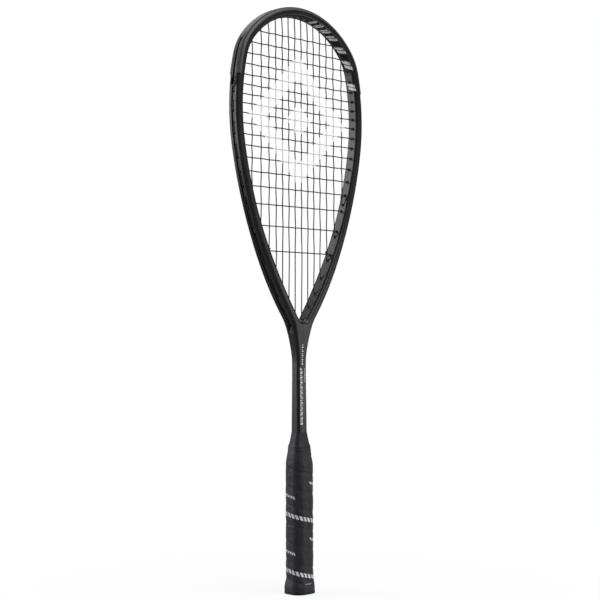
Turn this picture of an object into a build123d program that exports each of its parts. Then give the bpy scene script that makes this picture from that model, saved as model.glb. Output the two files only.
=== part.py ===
from build123d import *
from math import ceil, cos, radians, sin
import os

# Squash racket with a teardrop head. The origin is the centre of the butt's end
# face, +Z runs along the shaft to the crown, +X is the width of the head, and
# the string bed lies in the XZ plane. All sizes are in millimetres.

# Head centreline, from the crown down one side: (radius, turn in degrees) arcs.
CROWN_Z = 680.0
HEAD_ARCS = ((102.5, 51.0), (58.0, 25.5), (253.0, 23.0), (485.0, 26.0))

# Head tube.
TUBE_WIDTH = 10.0
TUBE_DEPTH = 16.2
TUBE_ROUND = 3.2
CAVITY_IN = -4.0
CAVITY_OUT = 1.6
CAVITY_DEPTH = 13.6
CAVITY_ROUND = 2.4
CAVITY_END = 118.0
GROOVE_FLOOR = 2.8
GROOVE_WIDTH = 5.4
GROOVE_END = 124.5

# Throat and shaft: half widths, then half depths, at given heights.
FLARE = ((13.4, 306.0), (9.5, 289.0))
NECK = (7.0, 267.0)
SHAFT_HALF_WIDTH = 7.4
SHAFT_HALF_DEPTH = 6.9
GRIP_TOP_Z = 188.0
SHAFT_FOOT_Z = 3.0
EVEN_DEPTH_Z = 500.0
DEPTHS = ((8.8, 410.0), (9.7, 335.0), (8.4, 306.0), (7.2, 291.0))
NECK_HALF_DEPTH = 6.35
BLANK_HALF_DEPTH = 12.0
SHAFT_BORE = (12.8, 11.8, 3.4)
NECK_BORE = (11.6, 10.4, 3.2)
BORE_TIP = (7.0, 7.0, 3.0)
BORE_TIP_Z = 288.0
# Groove floor down the flare, its lean there, and where the throat holes reach it.
FLARE_FLOOR = ((14.0, 315.2), (12.1, 300.0))
FLARE_LEAN = 14.0
THROAT_FLOOR = 4.2
THROAT_EXIT = 7.0

# Strings.
STRING_DIAMETER = 1.2
WEAVE_OFFSET = 0.65
MAIN_HALF_SPACINGS = (5.2, 15.4, 25.5, 36.0, 47.1, 60.0, 73.9)
CROSS_TOP_Z = 651.2
CROSS_GAPS = (14.6, 14.0, 12.7, 12.5, 11.5, 11.0, 10.6, 11.0, 12.0,
              12.2, 12.7, 13.5, 15.6, 16.5, 19.9, 24.6, 28.8)
BEND_STANDOFF = 1.5
BEND_RADIUS = 1.0
LOOP_STEP = 6.0
LOOP_LIFT = 0.9
LOOP_BULGE = 0.15
TAIL_TURN = 1.6
HOLE_PITCH = 5.2

# Grommets.
STRIP_THICKNESS = 0.9
STRIP_WIDTH = 5.3
BARREL_DIAMETER = 4.2
BARREL_BORE = 2.8
BARREL_LIP = 0.6
HOLE_DIAMETER = 4.3

# Bumper guard.
BUMPER_END = 82.0
BUMPER_PROUD = 1.0
BUMPER_SIDE = 0.6
BUMPER_LOW = 1.6
BUMPER_ROUND = 3.9
CHANNEL_WIDTH = 3.9
TONGUE_END = 82.9
TONGUE_WIDTH = 10.0
STRIP_START = 83.0

# Tie-off knots: diameter, length and distance from the end of the main string's pass.
KNOT_DIAMETER = 3.4
KNOT_LENGTH = 3.0
KNOT_STANDOFF = 8.0

# Handle sections at given heights: width, depth and corner radius.
BUTT = (33.8, 30.8, 12.0)
GRIP = (30.6, 27.6, 10.6)
GRIP_SHOULDER = (28.2, 25.6, 9.9)
GRIP_TAPER = (26.0, 24.2, 9.4)
GRIP_END = (21.6, 20.6, 7.9)
CORE = (26.6, 23.6, 8.6)
CORE_SHOULDER = (24.2, 21.8, 8.0)
CORE_END = (17.4, 16.4, 5.6)
CAP_SKIRT_FOOT = (31.0, 28.0, 10.8)
CAP_SKIRT_TOP = (28.0, 25.0, 9.3)
FINISHING_FOOT = (25.6, 23.9, 9.3)
FINISHING_MIDDLE = (22.4, 21.4, 8.3)
FINISHING_END = (19.2, 18.2, 6.9)
COLLAR_FOOT = (25.0, 23.6, 9.2)
COLLAR_LOW = (21.6, 20.6, 8.0)
COLLAR_HIGH = (19.2, 18.2, 6.8)
COLLAR_TOP = (16.0, 15.0, 4.6)
CORE_FOOT_Z = 2.6
BUTT_TOP_Z = 8.5
BUTT_FLARE_Z = 19.0
GRIP_STRAIGHT_Z = 150.0
GRIP_SHOULDER_Z = 158.0
GRIP_TAPER_Z = 165.0
GRIP_END_Z = 172.0
FINISHING_FOOT_Z = 166.5
FINISHING_TOP_Z = 175.0
COLLAR_FOOT_Z = 169.5
COLLAR_LOW_Z = 174.5
COLLAR_HIGH_Z = 179.5
COLLAR_TOP_Z = 187.0
CAP_PLATE = 2.5
CAP_EDGE_ROUND = 0.9
SKIRT_TOP_Z = 18.0

# Fixings under the grip tape.
STAPLE_WIRE = 0.8
STAPLE_WIDTH = 10.0
STAPLE_LEG = 6.0
STAPLE_Z = 12.0
TACK_HEAD = 5.0
TACK_PIN = 1.2
TACK_LENGTH = 3.5
TACK_Z = 28.0

os.makedirs("parts", exist_ok=True)


def head_centres():
    """Centre, radius and range of headings of each arc of the head's centreline."""
    arcs = []
    heading = 0.0
    centre_x = 0.0
    centre_z = CROWN_Z - HEAD_ARCS[0][0]
    for index, (radius, turn) in enumerate(HEAD_ARCS):
        arcs.append((heading, heading + turn, centre_x, centre_z, radius))
        heading += turn
        if index + 1 < len(HEAD_ARCS):
            change = radius - HEAD_ARCS[index + 1][0]
            centre_x += change * sin(radians(heading))
            centre_z += change * cos(radians(heading))
    # The throat arc closes the teardrop on the centre line of the racket.
    last = arcs[-1]
    end_x = last[2] + last[4] * sin(radians(heading))
    end_z = last[3] + last[4] * cos(radians(heading))
    radius = end_x / sin(radians(heading))
    arcs.append((heading, 180.0, 0.0, end_z - radius * cos(radians(heading)), radius))
    return arcs


ARCS = head_centres()
THROAT_HEADING = ARCS[-1][0]


def rail(heading, offset=0.0):
    """Point (x, z) at a heading on the curve that runs offset outside the centreline."""
    for start, end, x, z, radius in ARCS:
        if heading <= end:
            break
    reach = radius + offset
    return (x + reach * sin(radians(heading)), z + reach * cos(radians(heading)))


def heading_where(axis, value, offset, low, high):
    """Heading between low and high where coordinate axis (0: x, 1: z) has this value."""
    rising = rail(high, offset)[axis] > rail(low, offset)[axis]
    for _ in range(50):
        middle = (low + high) / 2
        if (rail(middle, offset)[axis] < value) == rising:
            low = middle
        else:
            high = middle
    return low


def arc_breaks(start, end):
    """Headings from start to end, with a break wherever the radius changes."""
    return [start] + [arc[1] for arc in ARCS if start < arc[1] < end] + [end]


def add_rail(offset, start, end):
    """Draw the right-hand offset curve between two headings, in the current BuildLine."""
    breaks = arc_breaks(start, end)
    for first, second in zip(breaks, breaks[1:]):
        middle = (first + second) / 2
        ThreePointArc(rail(first, offset), rail(middle, offset), rail(second, offset))


def head_band(inner, outer, start, end):
    """Flat band between two offset curves on the right, and its mirror image."""
    with BuildSketch(Plane.XZ) as band:
        with BuildLine():
            add_rail(inner, start, end)
            add_rail(outer, start, end)
            Line(rail(start, inner), rail(start, outer))
            Line(rail(end, inner), rail(end, outer))
        make_face()
        mirror(about=Plane.YZ)
    return band.sketch


def stack(*levels):
    """Straight-sided solid through rounded sections (z, (width, depth, radius))."""
    for (low, low_size), (high, high_size) in zip(levels, levels[1:]):
        with BuildSketch(Plane.XY.offset(low)) as foot:
            RectangleRounded(*low_size)
        with BuildSketch(Plane.XY.offset(high)) as top:
            RectangleRounded(*high_size)
        loft([foot.sketch, top.sketch])


# String passes: each hole is (heading, side), with side +1 right and -1 left.
BEND_OFFSET = -TUBE_WIDTH / 2 - BEND_STANDOFF
WIDEST = 90.0
MAIN_X = [-x for x in reversed(MAIN_HALF_SPACINGS)] + list(MAIN_HALF_SPACINGS)
CROSS_Z = [CROSS_TOP_Z]
for gap in CROSS_GAPS:
    CROSS_Z.append(CROSS_Z[-1] - gap)


def main_hole(x, at_top):
    low, high = (0.0, WIDEST) if at_top else (WIDEST, THROAT_HEADING + 30)
    return (heading_where(0, abs(x), BEND_OFFSET, low, high), 1 if x > 0 else -1)


def cross_hole(z, side):
    return (heading_where(1, z, BEND_OFFSET, 20.0, THROAT_HEADING), side)


main_holes = [(main_hole(x, True), main_hole(x, False)) for x in MAIN_X]
cross_holes = [(cross_hole(z, -1), cross_hole(z, 1)) for z in CROSS_Z]


def spread(holes):
    """Move a main's hole and a cross's hole apart where they would touch."""
    moved = dict.fromkeys(holes, 0.0)
    for side in (-1, 1):
        row = sorted(hole for hole in holes if hole[1] == side)
        for first, second in zip(row, row[1:]):
            x, z = rail(first[0], -TUBE_WIDTH / 2)
            next_x, next_z = rail(second[0], -TUBE_WIDTH / 2)
            gap = Vector(next_x - x, next_z - z).length
            if gap < HOLE_PITCH:
                turn = (HOLE_PITCH - gap) / 2 * (second[0] - first[0]) / gap
                moved[first] -= turn
                moved[second] += turn
    return {hole: (hole[0] + moved[hole], hole[1]) for hole in holes}


placed = spread([hole for pair in main_holes + cross_holes for hole in pair])
main_holes = [(placed[top], placed[bottom]) for top, bottom in main_holes]
cross_holes = [(placed[left], placed[right]) for left, right in cross_holes]
throat_holes = [hole for hole in placed.values() if hole[0] > THROAT_HEADING]


def hole_plane(hole, offset):
    """Plane at an offset on the hole's axis, facing out of the head."""
    heading, side = hole
    x, z = rail(heading, offset)
    return Plane(
        origin=(side * x, 0, z),
        x_dir=(0, 1, 0),
        z_dir=(side * sin(radians(heading)), 0, cos(radians(heading))),
    )


def bore(hole, inner, outer, diameter, mode=Mode.ADD):
    """Round bar along a hole's axis between two offsets."""
    with BuildSketch(hole_plane(hole, inner)) as disc:
        Circle(diameter / 2)
    extrude(disc.sketch, amount=outer - inner, mode=mode)



# Frame: head, throat and shaft as one hollow moulding.
neck_x, neck_z = NECK
half_tube = TUBE_WIDTH / 2
half_depth = TUBE_DEPTH / 2
above_crown = CROWN_Z + TUBE_DEPTH
with BuildPart() as blank:
    with BuildSketch(Plane.XZ):
        with BuildLine():
            add_rail(half_tube, 0.0, GROOVE_END)
            Spline(
                rail(GROOVE_END, half_tube),
                *FLARE,
                NECK,
                tangents=(
                    (cos(radians(GROOVE_END)), -sin(radians(GROOVE_END))),
                    (0, -1),
                ),
            )
            Polyline(
                NECK,
                (SHAFT_HALF_WIDTH, GRIP_TOP_Z),
                (SHAFT_HALF_WIDTH, SHAFT_FOOT_Z),
                (0, SHAFT_FOOT_Z),
                (0, CROWN_Z + half_tube),
            )
        make_face()
        with BuildLine():
            add_rail(-half_tube, 0.0, 180.0)
            Line(rail(180.0, -half_tube), rail(0.0, -half_tube))
        make_face(mode=Mode.SUBTRACT)
        mirror(about=Plane.YZ)
    extrude(amount=BLANK_HALF_DEPTH, both=True)
    # The arms grow deeper towards the throat, and the shaft is thinner again.
    with BuildSketch(Plane.YZ):
        with BuildLine():
            Polyline(
                (0, above_crown), (half_depth, above_crown), (half_depth, EVEN_DEPTH_Z)
            )
            Spline(
                (half_depth, EVEN_DEPTH_Z),
                *DEPTHS,
                (NECK_HALF_DEPTH, neck_z),
                (SHAFT_HALF_DEPTH, GRIP_TOP_Z),
                tangents=((0, -1), (0, -1)),
            )
            Polyline(
                (SHAFT_HALF_DEPTH, GRIP_TOP_Z),
                (SHAFT_HALF_DEPTH, SHAFT_FOOT_Z),
                (0, SHAFT_FOOT_Z),
                (0, above_crown),
            )
        make_face()
        mirror(about=Plane.YZ)
    extrude(amount=CROWN_Z, both=True, mode=Mode.INTERSECT)
    # Round the outline's edges, front and back, but not across the foot nor the
    # seams where the depth changes from even to growing.
    outline_edges = [
        edge
        for edge in blank.edges()
        if abs(edge.center().Y) > NECK_HALF_DEPTH - 1
        and edge.bounding_box().size.Y < TUBE_DEPTH / 4
        and edge.bounding_box().max.Z > SHAFT_FOOT_Z + 1
        and edge.bounding_box().size.Z > 1
    ]
    fillet(outline_edges, TUBE_ROUND)

with BuildPart() as cavity:
    cavity_band = head_band(CAVITY_IN, CAVITY_OUT, 0.0, CAVITY_END)
    extrude(cavity_band, amount=CAVITY_DEPTH / 2, both=True)
    fillet(cavity.edges().filter_by(Axis.Y, reverse=True), CAVITY_ROUND)

with BuildPart() as shaft_bore:
    stack(
        (SHAFT_FOOT_Z, SHAFT_BORE),
        (GRIP_TOP_Z, SHAFT_BORE),
        (neck_z, NECK_BORE),
        (BORE_TIP_Z, BORE_TIP),
    )


def groove_band(lift, first):
    """Right-hand band on the groove's floor, from a heading to the end of the flare."""
    start = rail(GROOVE_END, GROOVE_FLOOR)
    middle, end = FLARE_FLOOR
    outward = Vector(cos(radians(FLARE_LEAN)), -sin(radians(FLARE_LEAN))) * lift
    with BuildSketch(Plane.XZ) as band:
        with BuildLine():
            add_rail(GROOVE_FLOOR, first, GROOVE_END)
            ThreePointArc(start, middle, end)
            Line(end, Vector(*end) + outward)
            ThreePointArc(
                Vector(*end) + outward,
                Vector(*middle) + outward,
                rail(GROOVE_END, GROOVE_FLOOR + lift),
            )
            add_rail(GROOVE_FLOOR + lift, first, GROOVE_END)
            Line(rail(first, GROOVE_FLOOR), rail(first, GROOVE_FLOOR + lift))
        make_face()
    return band.sketch


with BuildPart() as groove:
    extrude(groove_band(TUBE_WIDTH, 0.0), amount=GROOVE_WIDTH / 2, both=True)
    mirror(about=Plane.YZ)


def floor_offset(hole):
    """Offset of the groove's floor on this hole's axis."""
    return THROAT_FLOOR if hole in throat_holes else GROOVE_FLOOR


with BuildPart() as frame:
    add(blank.part)
    add(groove.part, mode=Mode.SUBTRACT)
    add(cavity.part, mode=Mode.SUBTRACT)
    add(shaft_bore.part, mode=Mode.SUBTRACT)
    for hole in placed.values():
        bore(hole, -half_tube - 1, floor_offset(hole) + 1, HOLE_DIAMETER, Mode.SUBTRACT)
frame.part.label = "frame"
export_step(frame.part, "parts/frame.step")


# Grommets: barrels through the head, on strips that lie in the groove.
def barrels(holes):
    """Tubes along the holes' axes, from a lip inside the head to the strip."""
    for hole in holes:
        top = floor_offset(hole) + STRIP_THICKNESS
        bore(hole, -half_tube - BARREL_LIP, top, BARREL_DIAMETER)
    for hole in holes:
        top = floor_offset(hole) + STRIP_THICKNESS
        bore(hole, -half_tube - BARREL_LIP - 1, top + 1, BARREL_BORE, Mode.SUBTRACT)


def on_side(side, start, end):
    """Holes of one side, or of both with side 0, between two headings."""
    return [
        hole
        for hole in placed.values()
        if start <= hole[0] <= end and side in (0, hole[1])
    ]


# Bumper guard: a cap wrapped over the crown, a channel for the strings, and barrels.
guard_out = half_tube + BUMPER_PROUD
guard_half_depth = half_depth + BUMPER_SIDE
with BuildPart() as bumper_guard:
    extrude(
        head_band(-half_tube, guard_out, 0.0, BUMPER_END),
        amount=guard_half_depth,
        both=True,
    )
    guard_radii = [radius + guard_out for radius, turn in HEAD_ARCS]
    rim_edges = [
        edge
        for edge in bumper_guard.edges().filter_by(GeomType.CIRCLE)
        if any(abs(edge.radius - radius) < 0.01 for radius in guard_radii)
    ]
    fillet(rim_edges, BUMPER_ROUND)
    extrude(
        head_band(-half_tube - 1, BUMPER_LOW, 0.0, BUMPER_END + 1),
        amount=TUBE_DEPTH,
        both=True,
        mode=Mode.SUBTRACT,
    )
    tongue = head_band(half_tube - 1, guard_out, BUMPER_END - 1, TONGUE_END)
    extrude(tongue, amount=TONGUE_WIDTH / 2, both=True)
    add(blank.part, mode=Mode.SUBTRACT)
    channel = head_band(half_tube - 1, guard_out + 1, 0.0, TONGUE_END + 1)
    extrude(channel, amount=CHANNEL_WIDTH / 2, both=True, mode=Mode.SUBTRACT)
    trough = head_band(GROOVE_FLOOR, half_tube + BUMPER_PROUD / 2, 0.0, TONGUE_END)
    extrude(trough, amount=STRIP_WIDTH / 2, both=True)
    trough_space = head_band(
        GROOVE_FLOOR + STRIP_THICKNESS, guard_out + 1, 0.0, TONGUE_END + 1
    )
    extrude(trough_space, amount=CHANNEL_WIDTH / 2, both=True, mode=Mode.SUBTRACT)
    barrels(on_side(0, 0.0, BUMPER_END))
bumper_guard.part.label = "bumper_guard"
export_step(bumper_guard.part, "parts/bumper_guard.step")


def export_strip(side, name):
    """Grommet strip of one side, with its barrels, from the bumper to the throat."""
    with BuildPart() as strip:
        band = groove_band(STRIP_THICKNESS, STRIP_START)
        extrude(band, amount=STRIP_WIDTH / 2, both=True)
        if side < 0:
            mirror(about=Plane.YZ, mode=Mode.REPLACE)
        # Where the groove runs out, the strip ends flush with the flare.
        add(blank.part, mode=Mode.INTERSECT)
        barrels(on_side(side, STRIP_START, THROAT_HEADING))
        for hole in on_side(side, THROAT_HEADING + 0.01, 180.0):
            bore(hole, 0.0, TUBE_DEPTH, HOLE_DIAMETER, Mode.SUBTRACT)
    strip.part.label = name
    export_step(strip.part, f"parts/{name}.step")


def export_throat_grommet(side, name):
    """Long barrel that leads one centre main through the throat."""
    with BuildPart() as grommet:
        barrels(on_side(side, THROAT_HEADING + 0.01, 180.0))
    grommet.part.label = name
    export_step(grommet.part, f"parts/{name}.step")


for side, hand in ((-1, "left"), (1, "right")):
    export_strip(side, f"grommet_strip_{hand}")
    export_throat_grommet(side, f"throat_grommet_{hand}")


# Strings: mains pass behind the crosses, so that the plain solids stay clear.
LOOP_OFFSET = GROOVE_FLOOR + STRIP_THICKNESS + LOOP_LIFT


def signed_rail(signed_heading, offset):
    """Rail point for a heading that is negative on the left."""
    x, z = rail(abs(signed_heading), offset)
    return (x if signed_heading > 0 else -x, z)


def bend_point(hole):
    """Where a string turns from its pass into the hole."""
    return signed_rail(hole[0] * hole[1], BEND_OFFSET)


def exit_point(hole):
    """Where a string leaves the hole and turns along the groove."""
    offset = THROAT_EXIT if hole in throat_holes else LOOP_OFFSET
    return signed_rail(hole[0] * hole[1], offset)


def loop_points(start, end):
    """Corners of the run along the groove from one hole to the next."""
    if start in throat_holes or end in throat_holes:
        return []
    first = start[0] * start[1]
    last = end[0] * end[1]
    length = (Vector(*exit_point(start)) - Vector(*exit_point(end))).length
    steps = ceil(length / LOOP_STEP)
    turn = (last - first) / steps
    headings = [first + turn * (step + 0.5) for step in range(steps)]
    return [signed_rail(heading, LOOP_OFFSET + LOOP_BULGE) for heading in headings]


def string_route(passes):
    """Corners of a whole string, each pass entered and left by its two holes."""
    first_hole = passes[0][0]
    tail = signed_rail((first_hole[0] + TAIL_TURN) * first_hole[1], LOOP_OFFSET)
    route = [tail]
    for index, (enter, leave) in enumerate(passes):
        route += [exit_point(enter), bend_point(enter), bend_point(leave), exit_point(leave)]
        if index + 1 < len(passes):
            route += loop_points(leave, passes[index + 1][0])
    last_hole = passes[-1][1]
    route.append(signed_rail((last_hole[0] + TAIL_TURN) * last_hole[1], LOOP_OFFSET))
    return route


def export_string(name, passes, y):
    """Sweep one whole string along its corners, in the plane at y."""
    with BuildPart() as string:
        with BuildLine(Plane.XZ.offset(-y)) as route:
            FilletPolyline(*string_route(passes), radius=BEND_RADIUS)
        start = Plane(origin=route.line @ 0, z_dir=route.line % 0)
        with BuildSketch(start) as section:
            Circle(STRING_DIAMETER / 2)
        sweep(section.sketch, path=route.line)
    string.part.label = name
    export_step(string.part, f"parts/{name}.step")
    print(name, "length", round(route.wire().length / 1000, 2), "m")


# Neighbouring passes run in opposite directions.
main_passes = [
    (bottom, top) if index % 2 == 0 else (top, bottom)
    for index, (top, bottom) in enumerate(main_holes)
]
cross_passes = [
    (left, right) if index % 2 == 0 else (right, left)
    for index, (left, right) in enumerate(cross_holes)
]
export_string("main_string", main_passes, WEAVE_OFFSET)
export_string("cross_string", cross_passes, -WEAVE_OFFSET)

# Tie-off knots, each round the lower end of a main near the frame.
with BuildPart() as string_knots:
    for index in (0, 2, 11, 13):
        far, near = main_holes[index]
        start = Vector(*bend_point(near))
        run = (Vector(*bend_point(far)) - start).normalized()
        foot = start + run * KNOT_STANDOFF
        plane = Plane(
            origin=(foot.X, WEAVE_OFFSET, foot.Y), x_dir=(0, 1, 0), z_dir=(run.X, 0, run.Y)
        )
        with BuildSketch(plane):
            Circle(KNOT_DIAMETER / 2)
            Circle(STRING_DIAMETER / 2, mode=Mode.SUBTRACT)
        extrude(amount=KNOT_LENGTH)
string_knots.part.label = "string_knots"
export_step(string_knots.part, "parts/string_knots.step")

# Fixings: two staples through the skirt of the cap, and the tack of the tape.
core_half_depth = CORE[1] / 2
skirt_half_depth = core_half_depth + (CAP_SKIRT_FOOT[1] - CORE[1]) / 4 + 0.5
with BuildPart() as butt_cap_staples:
    for facing in (-1, 1):
        crown_y = facing * (skirt_half_depth + STAPLE_WIRE)
        with Locations((0, crown_y, STAPLE_Z)):
            Box(STAPLE_WIDTH, STAPLE_WIRE, STAPLE_WIRE)
        leg_y = crown_y - facing * STAPLE_LEG / 2
        for across in (-1, 1):
            leg_x = across * (STAPLE_WIDTH - STAPLE_WIRE) / 2
            with Locations((leg_x, leg_y, STAPLE_Z)):
                Box(STAPLE_WIRE, STAPLE_LEG, STAPLE_WIRE)
butt_cap_staples.part.label = "butt_cap_staples"
export_step(butt_cap_staples.part, "parts/butt_cap_staples.step")

with BuildPart() as grip_tack:
    with BuildSketch(Plane.XZ.offset(-core_half_depth)):
        Circle(TACK_HEAD / 2)
    extrude(amount=-STAPLE_WIRE)
    with BuildSketch(Plane.XZ.offset(-core_half_depth)):
        Circle(TACK_PIN / 2)
    extrude(amount=TACK_LENGTH)
grip_tack_part = grip_tack.part.moved(Location((0, 0, TACK_Z)))
grip_tack_part.label = "grip_tack"
export_step(grip_tack_part, "parts/grip_tack.step")

# Handle: foam pallet on the shaft, cap on its end, tape round both.
with BuildPart() as handle_core:
    stack(
        (CORE_FOOT_Z, CORE),
        (GRIP_STRAIGHT_Z, CORE),
        (GRIP_SHOULDER_Z, CORE_SHOULDER),
        (GRIP_END_Z, CORE_END),
    )
    add(blank.part, mode=Mode.SUBTRACT)
    add(shaft_bore.part, mode=Mode.SUBTRACT)
    add(butt_cap_staples.part, mode=Mode.SUBTRACT)
    add(grip_tack_part, mode=Mode.SUBTRACT)
handle_core.part.label = "handle_core"
export_step(handle_core.part, "parts/handle_core.step")

with BuildPart() as butt_cap:
    stack((0, BUTT), (CAP_PLATE, BUTT))
    fillet(butt_cap.edges().group_by(Axis.Z)[0], CAP_EDGE_ROUND)
    stack((CAP_PLATE, CAP_SKIRT_FOOT), (SKIRT_TOP_Z, CAP_SKIRT_TOP))
    add(handle_core.part, mode=Mode.SUBTRACT)
    add(blank.part, mode=Mode.SUBTRACT)
    add(shaft_bore.part, mode=Mode.SUBTRACT)
    add(butt_cap_staples.part, mode=Mode.SUBTRACT)
butt_cap.part.label = "butt_cap"
export_step(butt_cap.part, "parts/butt_cap.step")

with BuildPart() as grip_tape:
    stack(
        (CAP_PLATE, BUTT),
        (BUTT_TOP_Z, BUTT),
        (BUTT_FLARE_Z, GRIP),
        (GRIP_STRAIGHT_Z, GRIP),
        (GRIP_SHOULDER_Z, GRIP_SHOULDER),
        (GRIP_TAPER_Z, GRIP_TAPER),
        (GRIP_END_Z, GRIP_END),
    )
    for inner in (handle_core, butt_cap, blank, shaft_bore, butt_cap_staples):
        add(inner.part, mode=Mode.SUBTRACT)
    add(grip_tack_part, mode=Mode.SUBTRACT)
grip_tape.part.label = "grip_tape"
export_step(grip_tape.part, "parts/grip_tape.step")

with BuildPart() as finishing_tape:
    stack(
        (FINISHING_FOOT_Z, FINISHING_FOOT),
        (GRIP_END_Z, FINISHING_MIDDLE),
        (FINISHING_TOP_Z, FINISHING_END),
    )
    for inner in (grip_tape, handle_core, blank):
        add(inner.part, mode=Mode.SUBTRACT)
finishing_tape.part.label = "finishing_tape"
export_step(finishing_tape.part, "parts/finishing_tape.step")

with BuildPart() as grip_collar:
    stack(
        (COLLAR_FOOT_Z, COLLAR_FOOT),
        (COLLAR_LOW_Z, COLLAR_LOW),
        (COLLAR_HIGH_Z, COLLAR_HIGH),
        (COLLAR_TOP_Z, COLLAR_TOP),
    )
    for inner in (finishing_tape, grip_tape, handle_core, blank):
        add(inner.part, mode=Mode.SUBTRACT)
grip_collar.part.label = "grip_collar"
export_step(grip_collar.part, "parts/grip_collar.step")
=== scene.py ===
from itertools import cycle
from math import ceil, cos, pi, radians, sin

import bmesh
import bpy
from mathutils import Matrix, Vector


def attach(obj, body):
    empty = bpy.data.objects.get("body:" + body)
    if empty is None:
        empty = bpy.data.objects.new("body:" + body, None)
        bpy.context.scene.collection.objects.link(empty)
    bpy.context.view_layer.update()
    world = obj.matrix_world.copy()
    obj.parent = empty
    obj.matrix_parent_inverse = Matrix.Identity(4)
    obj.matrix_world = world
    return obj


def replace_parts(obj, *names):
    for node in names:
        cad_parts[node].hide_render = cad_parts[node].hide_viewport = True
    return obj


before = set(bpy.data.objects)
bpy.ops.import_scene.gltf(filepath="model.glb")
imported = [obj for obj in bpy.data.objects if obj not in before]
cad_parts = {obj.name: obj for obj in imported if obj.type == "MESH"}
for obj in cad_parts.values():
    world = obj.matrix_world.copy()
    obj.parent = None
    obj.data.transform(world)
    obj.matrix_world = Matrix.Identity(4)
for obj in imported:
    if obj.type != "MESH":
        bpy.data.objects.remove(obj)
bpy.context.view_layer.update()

MM = 0.001

# ---------------------------------------------------------------- frame geometry
# The head's centreline is a chain of (radius, turn in degrees) arcs from the crown
# down one side, in millimetres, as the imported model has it.
CROWN_Z = 680.0
HEAD_ARCS = ((102.5, 51.0), (58.0, 25.5), (253.0, 23.0), (485.0, 26.0))
TUBE_HALF_WIDTH = 5.0
TUBE_HALF_DEPTH = 8.1
TUBE_ROUND = 3.2

MAIN_HALF_SPACINGS = (5.2, 15.4, 25.5, 36.0, 47.1, 60.0, 73.9)
CROSS_TOP_Z = 651.2
CROSS_GAPS = (14.6, 14.0, 12.7, 12.5, 11.5, 11.0, 10.6, 11.0, 12.0,
              12.2, 12.7, 13.5, 15.6, 16.5, 19.9, 24.6, 28.8)
STRING_RADIUS = 0.66
MAIN_WEAVE = 0.38
CROSS_WEAVE = 0.94
HOLE_Y = 0.65
BEND_OFFSET = -6.5
LOOP_OFFSET = 4.6
LOOP_BULGE = 0.15
LOOP_STEP = 6.0
THROAT_EXIT = 7.0
HOLE_PITCH = 5.2
TAIL_TURN = 1.6

# Where the headings of the string ends are looked for, and how often a search halves.
CROSS_SEARCH_START = 20.0
THROAT_SEARCH = 30.0
HALVINGS = 50


def head_centres():
    """Centre, radius and headings of each arc, with the arc that closes the throat."""
    arcs = []
    heading = 0.0
    x = 0.0
    z = CROWN_Z - HEAD_ARCS[0][0]
    for index, (radius, turn) in enumerate(HEAD_ARCS):
        arcs.append((heading, heading + turn, x, z, radius))
        heading += turn
        if index + 1 < len(HEAD_ARCS):
            change = radius - HEAD_ARCS[index + 1][0]
            x += change * sin(radians(heading))
            z += change * cos(radians(heading))
    last = arcs[-1]
    end_x = last[2] + last[4] * sin(radians(heading))
    end_z = last[3] + last[4] * cos(radians(heading))
    radius = end_x / sin(radians(heading))
    arcs.append((heading, 180.0, 0.0, end_z - radius * cos(radians(heading)), radius))
    return arcs


ARCS = head_centres()
THROAT_HEADING = ARCS[-1][0]


def rail(signed_heading, offset=0.0):
    """Point (x, z) on the curve outside the centreline; the heading is negative left."""
    heading = abs(signed_heading)
    for start, end, x, z, radius in ARCS:
        if heading <= end:
            break
    reach = radius + offset
    side = -1 if signed_heading < 0 else 1
    return (side * (x + reach * sin(radians(heading))), z + reach * cos(radians(heading)))


def heading_where(axis, value, low, high):
    """Heading at which a string's bend has this x (axis 0) or z (axis 1)."""
    rising = rail(high, BEND_OFFSET)[axis] > rail(low, BEND_OFFSET)[axis]
    for _ in range(HALVINGS):
        middle = (low + high) / 2
        if (rail(middle, BEND_OFFSET)[axis] < value) == rising:
            low = middle
        else:
            high = middle
    return low


def distance(a, b):
    """Straight distance between two points."""
    return (Vector(a) - Vector(b)).length


def spread(headings):
    """Holes of one side, moved apart where a main's and a cross's would touch."""
    row = sorted(headings)
    moved = dict.fromkeys(row, 0.0)
    for first, second in zip(row, row[1:]):
        gap = distance(rail(first, -TUBE_HALF_WIDTH), rail(second, -TUBE_HALF_WIDTH))
        if gap < HOLE_PITCH:
            turn = (HOLE_PITCH - gap) / 2 * (second - first) / gap
            moved[first] -= turn
            moved[second] += turn
    return {heading: heading + moved[heading] for heading in row}


CROSS_Z = [CROSS_TOP_Z]
for gap in CROSS_GAPS:
    CROSS_Z.append(CROSS_Z[-1] - gap)
main_tops = [heading_where(0, x, 0.0, 90.0) for x in MAIN_HALF_SPACINGS]
main_bottoms = [heading_where(0, x, 90.0, THROAT_HEADING + THROAT_SEARCH)
                for x in MAIN_HALF_SPACINGS]
cross_ends = [heading_where(1, z, CROSS_SEARCH_START, THROAT_HEADING) for z in CROSS_Z]
placed = spread(main_tops + main_bottoms + cross_ends)
right_mains = [(placed[top], placed[bottom]) for top, bottom in zip(main_tops, main_bottoms)]
main_holes = [(-top, -bottom) for top, bottom in reversed(right_mains)] + right_mains
cross_holes = [(-placed[heading], placed[heading]) for heading in cross_ends]


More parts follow.
